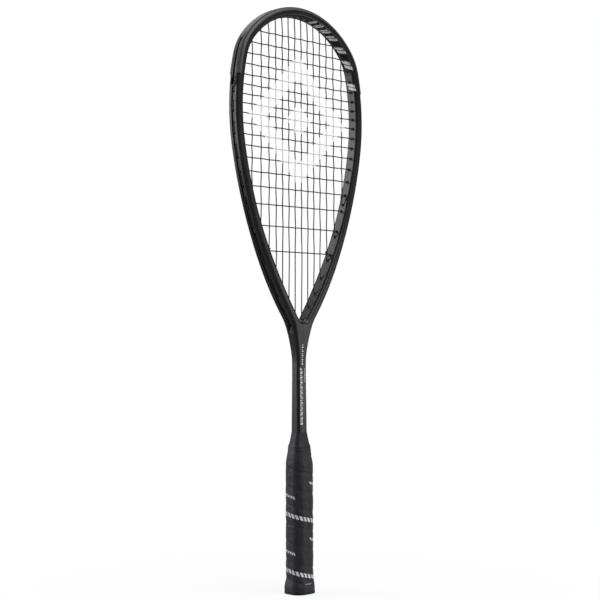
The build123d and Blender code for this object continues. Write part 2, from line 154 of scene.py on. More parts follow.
# ---------------------------------------------------------------- materials
class Finish:
    """A procedural material, built by naming nodes and what feeds them."""

    def __init__(self, name, **surface):
        self.material = bpy.data.materials.new(name)
        self.material.use_nodes = True
        self.tree = self.material.node_tree
        self.shader = self.tree.nodes["Principled BSDF"]
        for socket, value in surface.items():
            self.shader.inputs[socket.replace("_", " ")].default_value = value
        self.place = self.node("ShaderNodeTexCoord").outputs["Object"]

    def node(self, kind, inputs=(), **settings):
        """New node with its settings, and what feeds its inputs."""
        made = self.tree.nodes.new(kind)
        for key, value in settings.items():
            setattr(made, key, value)
        for key, value in dict(inputs).items():
            self.feed(value, made.inputs[key])
        return made

    def feed(self, value, socket):
        """Link another node's output, or set a constant."""
        if isinstance(value, bpy.types.NodeSocket):
            self.tree.links.new(value, socket)
        else:
            socket.default_value = value

    def maths(self, operation, first, second=0.0, clamp=False):
        """Output of a maths node."""
        inputs = {0: first, 1: second}
        made = self.node("ShaderNodeMath", inputs, operation=operation, use_clamp=clamp)
        return made.outputs[0]

    def remap(self, value, low, high, to_low=0.0, to_high=1.0):
        """Value moved from one range to another, and clamped."""
        inputs = {0: value, 1: low, 2: high, 3: to_low, 4: to_high}
        return self.node("ShaderNodeMapRange", inputs).outputs[0]

    def noise(self, scale, detail=3.0, roughness=0.5, vector=None, stretch=None):
        """Noise from 0 to 1 over the object, or over a given vector."""
        vector = vector or self.place
        if stretch:
            vector = self.node("ShaderNodeMapping", {0: vector, 3: stretch}).outputs[0]
        inputs = {"Vector": vector, "Scale": scale, "Detail": detail, "Roughness": roughness}
        return self.node("ShaderNodeTexNoise", inputs).outputs[0]

    def mix(self, factor, first, second):
        """Colour between two others."""
        made = self.node("ShaderNodeMix", data_type="RGBA")
        self.feed(factor, made.inputs[0])
        self.feed(first, made.inputs[6])
        self.feed(second, made.inputs[7])
        return made.outputs[2]

    def axes(self, vector=None):
        """The x, y and z of the object's coordinates, or of a given vector."""
        split = self.node("ShaderNodeSeparateXYZ", {0: vector or self.place})
        return split.outputs[0], split.outputs[1], split.outputs[2]

    def colour(self, value):
        """Set the base colour."""
        self.feed(value, self.shader.inputs["Base Color"])

    def rough(self, value):
        """Set the roughness."""
        self.feed(value, self.shader.inputs["Roughness"])

    def bump(self, height, reach, strength=1.0, over=None):
        """Raise the surface by a height in metres of reach, over an earlier bump."""
        inputs = {"Height": height, "Distance": reach, "Strength": strength}
        made = self.node("ShaderNodeBump", inputs)
        if over is not None:
            self.feed(over, made.inputs["Normal"])
        self.feed(made.outputs[0], self.shader.inputs["Normal"])
        return made.outputs[0]


TWILL_PITCH = 2.4


def carbon_finish():
    """Charcoal satin lacquer over a fine twill, with faint handling marks."""
    f = Finish("carbon_lacquer", Specular_IOR_Level=0.42)
    x, y, z = f.axes()
    pitch = 2 * pi / (TWILL_PITCH * MM)
    along = f.maths("MULTIPLY", f.maths("ADD", f.maths("ADD", x, y), z), pitch)
    across = f.maths("MULTIPLY", f.maths("SUBTRACT", f.maths("ADD", x, y), z), pitch)
    warp = f.maths("SINE", along)
    weft = f.maths("SINE", across)
    twill = f.remap(f.maths("MULTIPLY", warp, weft), -1.0, 1.0)
    patches = f.remap(f.noise(14.0, 2.0), 0.42, 0.62)
    weave = f.maths("MULTIPLY", twill, patches)
    speck = f.noise(2600.0, 2.0, 0.7)
    tone = f.maths("ADD", f.maths("MULTIPLY", weave, 0.55), f.maths("MULTIPLY", speck, 0.3))
    f.colour(f.mix(tone, (0.003, 0.0031, 0.0036, 1), (0.019, 0.0194, 0.0206, 1)))
    smears = f.noise(60.0, 4.0, 0.6, stretch=(1.0, 1.0, 0.3))
    f.rough(f.remap(smears, 0.3, 0.7, 0.3, 0.42))
    f.bump(f.maths("ADD", weave, f.maths("MULTIPLY", speck, 0.5)), 0.00003, 0.5)
    return f.material


def nylon_finish(name, dark, light):
    """Moulded nylon with a fine spark texture and scuffs."""
    f = Finish(name)
    grain = f.noise(1800.0, 4.0, 0.65)
    cloud = f.noise(45.0, 3.0, 0.5)
    scuff = f.remap(f.noise(240.0, 5.0, 0.7, stretch=(1.0, 1.0, 0.25)), 0.6, 0.75)
    base = f.mix(cloud, dark, light)
    f.colour(f.mix(f.maths("MULTIPLY", scuff, 0.3), base, (0.11, 0.11, 0.115, 1)))
    f.rough(f.remap(grain, 0.3, 0.7, 0.42, 0.62))
    f.bump(grain, 0.00006, 0.6)
    return f.material


STENCIL_CENTRE_Z = 553.0 * MM
STENCIL_HALF_WIDTH = 78.0 * MM
STENCIL_HALF_HEIGHT = 78.0 * MM
STENCIL_INNER = 0.66
STENCIL_CORE = 0.26


def string_finish():
    """Black string with a plain white diamond stencilled over the bed."""
    f = Finish("string_black")
    x, y, z = f.axes()
    wobble = f.maths("MULTIPLY", f.maths("SUBTRACT", f.noise(420.0, 2.0), 0.5), 0.03)
    across = f.maths("DIVIDE", f.maths("ABSOLUTE", x), STENCIL_HALF_WIDTH)
    height = f.maths("ABSOLUTE", f.maths("SUBTRACT", z, STENCIL_CENTRE_Z))
    reach = f.maths("ADD", across, f.maths("DIVIDE", height, STENCIL_HALF_HEIGHT))
    reach = f.maths("ADD", reach, wobble)
    ring = f.maths("MULTIPLY", f.maths("LESS_THAN", reach, 1.0),
                   f.maths("GREATER_THAN", reach, STENCIL_INNER))
    paint = f.maths("ADD", ring, f.maths("LESS_THAN", reach, STENCIL_CORE), clamp=True)
    worn = f.remap(f.noise(900.0, 3.0, 0.7), 0.68, 0.74, 1.0, 0.55)
    paint = f.maths("MULTIPLY", paint, worn)
    fibre = f.noise(3500.0, 2.0, 0.6)
    black = f.mix(fibre, (0.004, 0.004, 0.005, 1), (0.018, 0.018, 0.02, 1))
    f.colour(f.mix(paint, black, (0.86, 0.86, 0.85, 1)))
    f.rough(f.maths("ADD", f.maths("MULTIPLY", paint, 0.25), f.remap(fibre, 0.3, 0.7, 0.3, 0.42)))
    f.bump(fibre, 0.00003, 0.5)
    return f.material


def silver_finish():
    """Silver ink, slightly mottled and worn through in specks."""
    f = Finish("silver_ink")
    mottle = f.noise(700.0, 4.0, 0.6)
    worn = f.remap(f.noise(1500.0, 3.0, 0.7), 0.63, 0.7)
    ink = f.mix(mottle, (0.74, 0.75, 0.76, 1), (0.93, 0.94, 0.95, 1))
    f.colour(f.mix(f.maths("MULTIPLY", worn, 0.8), ink, (0.07, 0.07, 0.075, 1)))
    f.rough(f.remap(mottle, 0.3, 0.7, 0.34, 0.5))
    return f.material


# Grip tape: its coordinates run in metres along the tape (u) and across it (v).
TAPE_PITCH = 21.6
TAPE_START = 16.4
GRIP_PERIMETER = 97.0
PRINT_TURNS = 3
PRINT_FIRST_TURN = 34.2
PRINT_LOWEST_Z = 14.0
DOT_PITCH = 2.7
DOT_RADII = (0.35, 0.6)
DOT_BAND_HALF_WIDTH = 8.5
PRINT_LEAN = 0.45
# Rows of hatching: (start, end) in turns, then pitch, stroke and half height in mm.
PRINTED_ROWS = (
    (0.39, 1.25, 5.4, 3.5, 2.3), (1.78, 2.58, 3.1, 1.9, 1.5),
)


def grip_finish():
    """Cushioned polyurethane tape: dimples in rows with painted shade in them, creases, and plain
    printed bars.
    """
    f = Finish("grip_polyurethane", Sheen_Weight=0.15, Sheen_Roughness=0.5)
    uv = f.node("ShaderNodeUVMap", uv_map="tape").outputs[0]
    u, v, _ = f.axes(uv)
    off_middle = f.maths("ABSOLUTE", f.maths("SUBTRACT", v, TAPE_PITCH * MM / 2))
    half_pitch = DOT_PITCH * MM / 2
    column = f.maths("PINGPONG", u, half_pitch)
    line = f.maths("PINGPONG", f.maths("ADD", v, half_pitch / 2), half_pitch)
    radius = f.maths("SQRT", f.maths("ADD", f.maths("POWER", column, 2.0),
                                     f.maths("POWER", line, 2.0)))
    dot = f.maths("SUBTRACT", 1.0, f.remap(radius, DOT_RADII[0] * MM, DOT_RADII[1] * MM))
    band = f.maths("LESS_THAN", off_middle, DOT_BAND_HALF_WIDTH * MM)
    dimple = f.maths("SUBTRACT", 1.0, f.maths("MULTIPLY", dot, band))
    # Printed hatch: a tall row on every third turn, and a low row on the turns between.
    lean = f.maths("ADD", u, f.maths("MULTIPLY", v, PRINT_LEAN))
    turns = f.maths("MODULO", f.maths("DIVIDE", u, GRIP_PERIMETER * MM), float(PRINT_TURNS))
    ink = 0.0
    low_enough = f.maths("GREATER_THAN", u, PRINT_FIRST_TURN * GRIP_PERIMETER * MM)
    for start, end, pitch, stroke, half_height in PRINTED_ROWS:
        after = f.maths("GREATER_THAN", turns, start)
        before = f.maths("LESS_THAN", turns, end)
        inside = f.maths("LESS_THAN", off_middle, half_height * MM)
        bar = f.maths("LESS_THAN", f.maths("MODULO", lean, pitch * MM), stroke * MM)
        row = f.maths("MULTIPLY", f.maths("MULTIPLY", after, before),
                      f.maths("MULTIPLY", inside, bar))
        ink = f.maths("ADD", ink, row, clamp=True)
    worn = f.remap(f.noise(800.0, 3.0, 0.7), 0.55, 0.66, 1.0, 0.35)
    clear_of_butt = f.maths("GREATER_THAN", f.axes()[2], PRINT_LOWEST_Z * MM)
    ink = f.maths("MULTIPLY", f.maths("MULTIPLY", ink, worn), low_enough)
    ink = f.maths("MULTIPLY", ink, clear_of_butt)
    cloud = f.noise(80.0, 4.0, 0.6)
    grain = f.noise(2400.0, 3.0, 0.7)
    tone = f.mix(cloud, (0.002, 0.002, 0.0045, 1), (0.015, 0.0145, 0.025, 1))
    # Painted shade: the colour is darkened inside the dimples' recesses.
    tone = f.mix(f.remap(dimple, 0.0, 1.0, 0.5, 0.0), tone, (0.006, 0.006, 0.008, 1))
    f.colour(f.mix(ink, tone, (0.9, 0.9, 0.91, 1)))
    f.rough(f.remap(cloud, 0.3, 0.7, 0.44, 0.6))
    crease = f.noise(260.0, 4.0, 0.6, vector=uv, stretch=(0.35, 1.0, 1.0))
    dents = f.noise(170.0, 2.0, 0.5)
    fine = f.bump(grain, 0.00005, 0.5)
    folded = f.bump(crease, 0.0012, 0.6, over=fine)
    f.bump(dimple, 0.0004, 0.8, over=f.bump(dents, 0.002, 0.5, over=folded))
    return f.material


def rubber_finish():
    """Moulded rubber with faint rings."""
    f = Finish("collar_rubber")
    grain = f.noise(1500.0, 4.0, 0.7)
    cloud = f.noise(70.0, 3.0, 0.5)
    f.colour(f.mix(cloud, (0.002, 0.002, 0.004, 1), (0.012, 0.012, 0.019, 1)))
    f.rough(f.remap(grain, 0.3, 0.7, 0.45, 0.62))
    f.bump(grain, 0.00008, 0.6)
    return f.material


def vinyl_finish():
    """Thin vinyl tape with wrinkles along its turn, with painted shade in their troughs and
    painted highlight on their crests.
    """
    f = Finish("finishing_vinyl")
    wrinkle = f.noise(400.0, 3.0, 0.5, stretch=(0.4, 0.4, 1.6))
    # Painted shade and highlight: the colour follows the wrinkles' height, darker in their
    # troughs and lighter on their crests.
    f.colour(f.mix(wrinkle, (0.006, 0.006, 0.008, 1), (0.02, 0.02, 0.025, 1)))
    f.rough(f.remap(wrinkle, 0.3, 0.7, 0.5, 0.62))
    f.bump(wrinkle, 0.0002, 0.4)
    return f.material


def foam_finish():
    """Moulded foam with open cells."""
    f = Finish("pallet_foam")
    cells = f.node("ShaderNodeTexVoronoi", {"Vector": f.place, "Scale": 900.0}).outputs[0]
    tint = f.noise(60.0, 3.0)
    f.colour(f.mix(tint, (0.42, 0.36, 0.22, 1), (0.6, 0.53, 0.36, 1)))
    f.rough(f.remap(cells, 0.0, 1.0, 0.95, 0.75))
    f.bump(cells, 0.0002, 0.6)
    return f.material


def steel_finish():
    """Drawn wire."""
    f = Finish("fixing_steel", Metallic=1.0)
    draw = f.noise(900.0, 4.0, 0.6, stretch=(0.2, 1.0, 1.0))
    f.colour(f.mix(draw, (0.42, 0.42, 0.43, 1), (0.62, 0.62, 0.63, 1)))
    f.rough(f.remap(draw, 0.3, 0.7, 0.22, 0.4))
    f.bump(draw, 0.00003, 0.4)
    return f.material


carbon = carbon_finish()
nylon = nylon_finish("nylon_black", (0.007, 0.007, 0.008, 1), (0.018, 0.018, 0.020, 1))
guard = nylon_finish("guard_nylon", (0.032, 0.032, 0.034, 1), (0.066, 0.0665, 0.07, 1))
black_string = string_finish()
silver = silver_finish()
grip = grip_finish()
rubber = rubber_finish()
vinyl = vinyl_finish()

CAD_FINISH = {
    "frame": carbon,
    "bumper_guard": guard,
    "grommet_strip_left": nylon,
    "grommet_strip_right": nylon,
    "throat_grommet_left": nylon,
    "throat_grommet_right": nylon,
    "handle_core": foam_finish(),
    "butt_cap": rubber,
    "butt_cap_staples": steel_finish(),
    "grip_tack": steel_finish(),
    "finishing_tape": vinyl,
    "grip_collar": rubber,
}
for name, material in CAD_FINISH.items():
    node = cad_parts[name]
    for slot in node.material_slots:
        slot.material = material


# ---------------------------------------------------------------- pieces
def mesh_piece(name, vertices, faces, material, uv=None):
    """Link a smooth mesh, given in millimetres, and ride it on the racket."""
    mesh = bpy.data.meshes.new(name)
    mesh.from_pydata([[c * MM for c in vertex] for vertex in vertices], [], faces)
    for polygon in mesh.polygons:
        polygon.use_smooth = True
    mesh.materials.append(material)
    if uv:
        layer = mesh.uv_layers.new(name="tape")
        for loop, corner in zip(layer.data, uv):
            loop.uv = corner
    piece = bpy.data.objects.new(name, mesh)
    bpy.context.scene.collection.objects.link(piece)
    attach(piece, "root")
    return piece


def tube_curve(name, routes, radius, material, sides=4):
    """Round strings through lists of points in millimetres, as one curve object."""
    curve = bpy.data.curves.new(name, "CURVE")
    curve.dimensions = "3D"
    curve.bevel_depth = radius * MM
    curve.bevel_resolution = sides
    curve.use_fill_caps = True
    curve.resolution_u = 3
    for route in routes:
        spline = curve.splines.new("NURBS")
        spline.points.add(len(route) - 1)
        for point, place in zip(spline.points, route):
            point.co = (place[0] * MM, place[1] * MM, place[2] * MM, 1.0)
        spline.order_u = 3
        spline.use_endpoint_u = True
    curve.materials.append(material)
    piece = bpy.data.objects.new(name, curve)
    bpy.context.scene.collection.objects.link(piece)
    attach(piece, "root")
    return piece


# Strings: each pass weaves over and under at its crossings, then turns into its hole.
WEAVE_STEPS = 6
HOLE_PARTS = (0.25, 0.6, 0.9, 1.0)
THROAT_LOOP_PARTS = (0.12, 0.5, 0.88)
END_CLEARANCE = 3.0
SIDE_CLEARANCE = 2.0


def at_depth(pair, y):
    """Point with the (x, z) of a pair and this y."""
    return (pair[0], y, pair[1])


def woven_pass(start, end, crossings, along, first_over, hole_y, weave):
    """Points from one bend to the other, weaving at the crossings in order."""
    stations = [(0.0, hole_y)]
    for index, crossing in enumerate(crossings):
        over = first_over if index % 2 == 0 else not first_over
        stations.append(((crossing - start[along]) / (end[along] - start[along]),
                         -weave if over else weave))
    stations.append((1.0, hole_y))
    points = []
    for (t0, y0), (t1, y1) in zip(stations, stations[1:]):
        for step in range(WEAVE_STEPS):
            part = step / WEAVE_STEPS
            ease = (1 - cos(pi * part)) / 2
            t = t0 + (t1 - t0) * part
            points.append((start[0] + (end[0] - start[0]) * t, y0 + (y1 - y0) * ease,
                           start[1] + (end[1] - start[1]) * t))
    points.append((end[0], hole_y, end[1]))
    return points


def exit_offset(heading):
    """How far outside the centreline a hole at this heading ends."""
    return THROAT_EXIT if abs(heading) > THROAT_HEADING else LOOP_OFFSET


def through_hole(heading, y, outward):
    """Points along a hole's axis, between the bend inside and the groove outside."""
    depth = exit_offset(heading) - BEND_OFFSET
    offsets = [BEND_OFFSET + depth * part for part in HOLE_PARTS]
    if not outward:
        offsets.reverse()
    return [at_depth(rail(heading, offset), y) for offset in offsets]


def loop_run(leave, enter, y):
    """Points along the groove from one hole to the next."""
    if abs(leave) > THROAT_HEADING or abs(enter) > THROAT_HEADING:
        a = Vector(rail(leave, exit_offset(leave)))
        b = Vector(rail(enter, exit_offset(enter)))
        return [at_depth(a.lerp(b, part), y) for part in THROAT_LOOP_PARTS]
    length = distance(rail(leave, LOOP_OFFSET), rail(enter, LOOP_OFFSET))
    steps = max(2, ceil(length / LOOP_STEP) * 2)
    turn = (enter - leave) / steps
    return [at_depth(rail(leave + turn * (step + 0.5), LOOP_OFFSET + LOOP_BULGE), y)
            for step in range(steps)]


def tail_end(heading, y):
    """Point where a tied-off end stops in the groove, just past its hole."""
    tail = (abs(heading) + TAIL_TURN) * (1 if heading > 0 else -1)
    return at_depth(rail(tail, LOOP_OFFSET), y)


def string_route(passes, y):
    """A whole string: (hole in, hole out, points between) for each pass in turn."""
    route = [tail_end(passes[0][0], y)]
    for index, (enter, leave, woven) in enumerate(passes):
        route += through_hole(enter, y, outward=False)
        route += woven
        route += through_hole(leave, y, outward=True)
        if index + 1 < len(passes):
            route += loop_run(leave, passes[index + 1][0], y)
    route.append(tail_end(passes[-1][1], y))
    return route


def crosses(main, row):
    """Whether a cross meets this main clear of the frame, with the main's x."""
    top, bottom = main_holes[main]
    low, high = rail(bottom, BEND_OFFSET), rail(top, BEND_OFFSET)
    x = (low[0] + high[0]) / 2
    half_width = rail(cross_holes[row][1], BEND_OFFSET)[0]
    inside = low[1] + END_CLEARANCE < CROSS_Z[row] < high[1] - END_CLEARANCE
    return inside and abs(x) < half_width - SIDE_CLEARANCE, x


def main_passes():
    """The main string's passes, alternately upward and downward, from the left."""
    passes = []
    for index, (top, bottom) in enumerate(main_holes):
        met = [(z, (index + row) % 2 == 0) for row, z in enumerate(CROSS_Z)
               if crosses(index, row)[0]]
        met.sort()
        start, end = rail(bottom, BEND_OFFSET), rail(top, BEND_OFFSET)
        holes = (bottom, top)
        if index % 2 == 1:
            met.reverse()
            start, end = end, start
            holes = (top, bottom)
        woven = woven_pass(start, end, [z for z, over in met], 1, met[0][1], HOLE_Y, MAIN_WEAVE)
        passes.append((*holes, woven))
    return passes


def cross_passes():
    """The cross string's passes, alternately rightward and leftward, from the top."""
    passes = []
    for row, (left, right) in enumerate(cross_holes):
        met = [(crosses(index, row)[1], (index + row) % 2 == 1)
               for index in range(len(main_holes)) if crosses(index, row)[0]]
        met.sort()
        start, end = rail(left, BEND_OFFSET), rail(right, BEND_OFFSET)
        holes = (left, right)
        if row % 2 == 1:
            met.reverse()
            start, end = end, start
            holes = (right, left)
        woven = woven_pass(start, end, [x for x, over in met], 0, met[0][1], -HOLE_Y, CROSS_WEAVE)
        passes.append((*holes, woven))
    return passes


main_string = tube_curve("main_string_woven", [string_route(main_passes(), HOLE_Y)],
                         STRING_RADIUS, black_string)
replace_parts(main_string, "main_string")
cross_string = tube_curve("cross_string_woven", [string_route(cross_passes(), -HOLE_Y)],
                          STRING_RADIUS, black_string)
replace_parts(cross_string, "cross_string")

# Tie-off knots: two half hitches and a cut end, round a main close to the frame.
KNOTTED_MAINS = (0, 2, 11, 13)
KNOT_STANDOFF = 8.0
KNOT_TURNS = 2.4
KNOT_STEPS = 30
KNOT_RADIUS = 1.22
KNOT_SWELL = 0.12
KNOT_SWELL_RATE = 0.7
KNOT_DEPTH = HOLE_Y * 0.4
KNOT_LOW = 0.45
KNOT_RISE = 2.1
KNOT_TAIL = (0.9, -1.1, 0.6)
KNOT_TAIL_PULL = 0.995


def knot_route(main):
    """Points of a knot that climbs round the lower end of a main."""
    far, near = (Vector(rail(heading, BEND_OFFSET)) for heading in main_holes[main])
    run = (far - near).normalized()
    foot = near + run * KNOT_STANDOFF
    points = []
    for step in range(KNOT_STEPS + 1):
        turn = 2 * pi * KNOT_TURNS * step / KNOT_STEPS
        reach = KNOT_RADIUS * (1.0 + KNOT_SWELL * sin(turn * KNOT_SWELL_RATE))
        climb = KNOT_LOW + KNOT_RISE * step / KNOT_STEPS
        points.append((foot.x + reach * cos(turn) + run.x * climb,
                       KNOT_DEPTH + reach * sin(turn), foot.y + run.y * climb))
    x, y, z = points[-1]
    points.append((x * KNOT_TAIL_PULL + KNOT_TAIL[0], y + KNOT_TAIL[1], z + KNOT_TAIL[2]))
    return points


knots = tube_curve("tie_off_knots", [knot_route(main) for main in KNOTTED_MAINS],
                   STRING_RADIUS * 0.9, black_string)
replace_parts(knots, "string_knots")


# Marks: plain silver bars, a hair proud of the lacquer.
INK_LIFT = 0.14
MARK_GAP = 7.5
MARK_FIRST = 6.0
MARK_LAST = 80.0
MARK_CLEARANCE = 2.7
MARK_SLANT = 0.045
MARK_MIDDLE = 3.0
MARK_ROWS = 3
MARK_COLUMNS = 14
# Each bar of a pair: from and to along the gap, then from and to round the tube in mm.
MARK_BARS = ((0.0, 0.45, -3.6, 7.4), (0.58, 1.0, -2.2, 8.2))
SHOULDER_END = HEAD_ARCS[0][1] + HEAD_ARCS[1][1]


def tube_skin(heading, girth, lift):
    """Point on the head tube: girth runs from the inner face's middle to the front."""
    flat = TUBE_HALF_DEPTH - TUBE_ROUND
    side = -1 if girth < 0 else 1
    run = abs(girth)
    if run <= flat:
        offset, y = -TUBE_HALF_WIDTH - lift, run
    else:
        turn = (run - flat) / TUBE_ROUND
        offset = -(TUBE_HALF_WIDTH - TUBE_ROUND) - (TUBE_ROUND + lift) * cos(turn)
        y = flat + (TUBE_ROUND + lift) * sin(turn)
    x, z = rail(heading, offset)
    return (x, -side * y, z)


def patch(corner_low, corner_high, rows, columns, place, vertices, faces):
    """Grid between two (s, t) corners, laid on a surface by place(s, t)."""
    base = len(vertices)
    for i in range(rows + 1):
        for j in range(columns + 1):
            s = corner_low[0] + (corner_high[0] - corner_low[0]) * i / rows
            t = corner_low[1] + (corner_high[1] - corner_low[1]) * j / columns
            vertices.append(place(s, t))
    for i in range(rows):
        for j in range(columns):
            a = base + i * (columns + 1) + j
            faces.append((a, a + 1, a + columns + 2, a + columns + 1))


def head_marks():
    """Slanted bars between the grommets of one upper side, and again behind."""
    vertices, faces = [], []
    holes = sorted(abs(h) for pair in main_holes + cross_holes for h in pair if h > 0)
    for facing in (1, -1):
        for first, second in zip(holes, holes[1:]):
            span = distance(rail(first, -TUBE_HALF_WIDTH), rail(second, -TUBE_HALF_WIDTH))
            if span < MARK_GAP or not MARK_FIRST < first < MARK_LAST:
                continue
            if first < SHOULDER_END < second:
                continue
            clear = (second - first) * MARK_CLEARANCE / span
            low, high = first + clear, second - clear

            def place(s, t):
                slanted = s + MARK_SLANT * (t - MARK_MIDDLE)
                return tube_skin(facing * (low + (high - low) * slanted), facing * t, INK_LIFT)

            for start, end, inner, outer in MARK_BARS:
                corners = ((start, inner), (end, outer))
                patch(*corners, MARK_ROWS, MARK_COLUMNS, place, vertices, faces)
    return mesh_piece("head_marks", vertices, faces, silver)


head_marks()

# ---------------------------------------------------------------- grip
GRIP_LEVELS = (
    (2.5, 33.8, 30.8, 12.0), (8.5, 33.8, 30.8, 12.0), (19.0, 30.6, 27.6, 10.6),
    (150.0, 30.6, 27.6, 10.6), (158.0, 28.2, 25.6, 9.9), (165.0, 26.0, 24.2, 9.4),
    (171.5, 21.9, 20.9, 8.0),
)
GRIP_ROUND_STEPS = 200
FIRST_TURN = 41
GRIP_ROW = 0.55

# The wound tape's relief: its bed, its edge, the crown of each turn and the lap.
TAPE_BED = -0.75
TAPE_EDGE = 0.10
TAPE_EDGE_RISE = 0.30
TAPE_CROWN = 0.22
TAPE_LAP = 0.20
TAPE_LAP_RISE = 0.21
TAPE_SINK = 0.15
TAPE_FOOT_FADE = 12.0
TAPE_TOP_FADE = 6.0
RIPPLE = 0.10
RIPPLES_ROUND = 3
RIPPLE_TWIST = 0.21


def level_size(levels, z):
    """Width, depth and corner radius at a height, eased between the levels."""
    for (z0, *low), (z1, *high) in zip(levels, levels[1:]):
        if z <= z1:
            part = min(max((z - z0) / (z1 - z0), 0.0), 1.0)
            return [a + (b - a) * part for a, b in zip(low, high)]
    return list(levels[-1][1:])


def outline_point(width, depth, radius, part):
    """Point and outward normal at a part (0 to 1) of the way round a rounded box."""
    flats = (width - 2 * radius, depth - 2 * radius)
    corner = pi / 2 * radius
    lengths = (flats[1] / 2, corner, flats[0], corner, flats[1], corner, flats[0], corner,
               flats[1] / 2)
    run = part * sum(lengths)
    angle = 0.0
    x, y = width / 2, 0.0
    for index, length in enumerate(lengths):
        step = min(run, length)
        if index % 2 == 0:
            x += -sin(angle) * step
            y += cos(angle) * step
        else:
            turn = step / radius
            cx, cy = x - cos(angle) * radius, y - sin(angle) * radius
            angle += turn
            x, y = cx + cos(angle) * radius, cy + sin(angle) * radius
        run -= step
        if run <= 0:
            break
    return x, y, cos(angle), sin(angle)


def smooth(part):
    """Ease from 0 to 1, flat outside that range."""
    part = min(max(part, 0.0), 1.0)
    return part * part * (3 - 2 * part)


def tape_relief(across):
    """Height of the wound tape above its bed, at a part of the way across a turn."""
    rise = TAPE_EDGE_RISE * smooth(across / TAPE_EDGE)
    crown = TAPE_CROWN * (1 - (2 * across - 1) ** 2)
    lap = TAPE_LAP_RISE * smooth((1 - across) / TAPE_LAP)
    return TAPE_BED + rise + crown + lap


def sleeve(levels, row_height, columns, lift):
    """Closed sleeve through rounded boxes, moved outward by lift(z, part of the way round)."""
    low, high = levels[0][0], levels[-1][0]
    rows = int((high - low) / row_height)
    vertices, faces = [], []
    for i in range(rows + 1):
        z = low + (high - low) * i / rows
        size = level_size(levels, z)
        for j in range(columns):
            x, y, nx, ny = outline_point(*size, j / columns)
            out = lift(z, j / columns)
            vertices.append((x + nx * out, y + ny * out, z))
    for i in range(rows):
        for j in range(columns):
            k = (j + 1) % columns
            a = i * columns
            b = a + columns
            faces.append((a + j, a + k, b + k, b + j))
    top = rows * columns
    faces.append(tuple(reversed(range(columns))))
    faces.append(tuple(range(top, top + columns)))
    return rows, vertices, faces


def tape_lift(z, part):
    """How far the wound tape stands out from the handle's outline."""
    low, high = GRIP_LEVELS[0][0], GRIP_LEVELS[-1][0]
    across = ((z + TAPE_START) / TAPE_PITCH + part) % 1.0
    full = smooth((z - low) / TAPE_FOOT_FADE) * smooth((high - z) / TAPE_TOP_FADE)
    ripple = RIPPLE * sin(RIPPLES_ROUND * 2 * pi * part + z * RIPPLE_TWIST)
    return tape_relief(across) * full - TAPE_SINK + ripple * full


def grip_wrap():
    """The wound tape as one sleeve, with a raised, crowned turn at each pitch."""
    low, high = GRIP_LEVELS[0][0], GRIP_LEVELS[-1][0]
    rows, vertices, faces = sleeve(GRIP_LEVELS, GRIP_ROW, GRIP_ROUND_STEPS, tape_lift)
    uv = []
    for i in range(rows):
        middle = (low + (high - low) * (i + 0.5) / rows + TAPE_START) / TAPE_PITCH
        for j in range(GRIP_ROUND_STEPS):
            turn = int(middle + (j + 0.5) / GRIP_ROUND_STEPS)
            for row, column in ((i, j), (i, j + 1), (i + 1, j + 1), (i + 1, j)):
                z = low + (high - low) * row / rows
                part = column / GRIP_ROUND_STEPS
                across = (z + TAPE_START) / TAPE_PITCH + part - turn
                along = part + FIRST_TURN - turn
                uv.append((along * GRIP_PERIMETER * MM, across * TAPE_PITCH * MM))
    uv += [(0.0, 0.0)] * (2 * GRIP_ROUND_STEPS)
    return mesh_piece("grip_wrap", vertices, faces, grip, uv)


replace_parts(grip_wrap(), "grip_tape")

# Collar: a flared rubber sleeve with a hem and fine rings.
COLLAR_LEVELS = (
    (169.5, 25.0, 23.6, 9.2), (174.5, 21.6, 20.6, 8.0), (179.5, 19.2, 18.2, 6.8),
    (187.0, 16.0, 15.0, 4.6),
)
COLLAR_HEM = 3.2
HEM_RISE = 0.16
HEM_EDGE = 0.4
RING_PITCH = 1.5
RING_RISE = 0.13
RING_SINK = 0.08
COLLAR_ROW = 0.1
COLLAR_ROUND_STEPS = 96


def collar_lift(z, part):
    """Height of the collar's skin: a plain hem, and rings above it."""
    rise = z - COLLAR_LEVELS[0][0]
    if rise < COLLAR_HEM:
        return HEM_RISE * smooth(rise / HEM_EDGE) * smooth((COLLAR_HEM - rise) / HEM_EDGE)
    return RING_RISE * (0.5 - 0.5 * cos(2 * pi * (rise - COLLAR_HEM) / RING_PITCH)) - RING_SINK


def ribbed_collar():
    """The collar's skin as one sleeve round the shaft."""
    rows, vertices, faces = sleeve(COLLAR_LEVELS, COLLAR_ROW, COLLAR_ROUND_STEPS, collar_lift)
    return mesh_piece("collar_ribbed", vertices, faces, rubber)


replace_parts(ribbed_collar(), "grip_collar")

# Bumper's tongues: a rounded rib on each side where the guard's channel ends.
TONGUE_RANGE = (72.0, 84.6)
TONGUE_STEPS = 8
TONGUE_TIP = 0.55
TONGUE_HALF_WIDTH = 3.9
TONGUE_RADIUS = 0.9
TONGUE_OFFSET = 5.5


def tongue_route(hand):
    """Points down one leg of a tongue, round its tip and up the other leg."""
    start, tip = TONGUE_RANGE
    leg = []
    for step in range(TONGUE_STEPS + 1):
        heading = hand * (start + (tip - start) * step / TONGUE_STEPS)
        leg.append(at_depth(rail(heading, TONGUE_OFFSET), -TONGUE_HALF_WIDTH))
    bend = []
    for step in range(1, TONGUE_STEPS):
        turn = pi * step / TONGUE_STEPS
        heading = hand * (tip + TONGUE_TIP * sin(turn))
        bend.append(at_depth(rail(heading, TONGUE_OFFSET), -TONGUE_HALF_WIDTH * cos(turn)))
    return leg + bend + [(x, -y, z) for x, y, z in reversed(leg)]


tube_curve("bumper_tongues", [tongue_route(hand) for hand in (-1, 1)], TONGUE_RADIUS, guard)

# Bumper's web: the guard is closed over the crown, and its channel opens below.
WEB_END = 60.0
WEB_HALF_WIDTH = 2.2
WEB_TIP = 5.0
WEB_LEVELS = (6.02, 4.6)
WEB_DOME = 0.06
WEB_NARROWEST = 0.02
WEB_ACROSS = 8
WEB_ALONG = 120


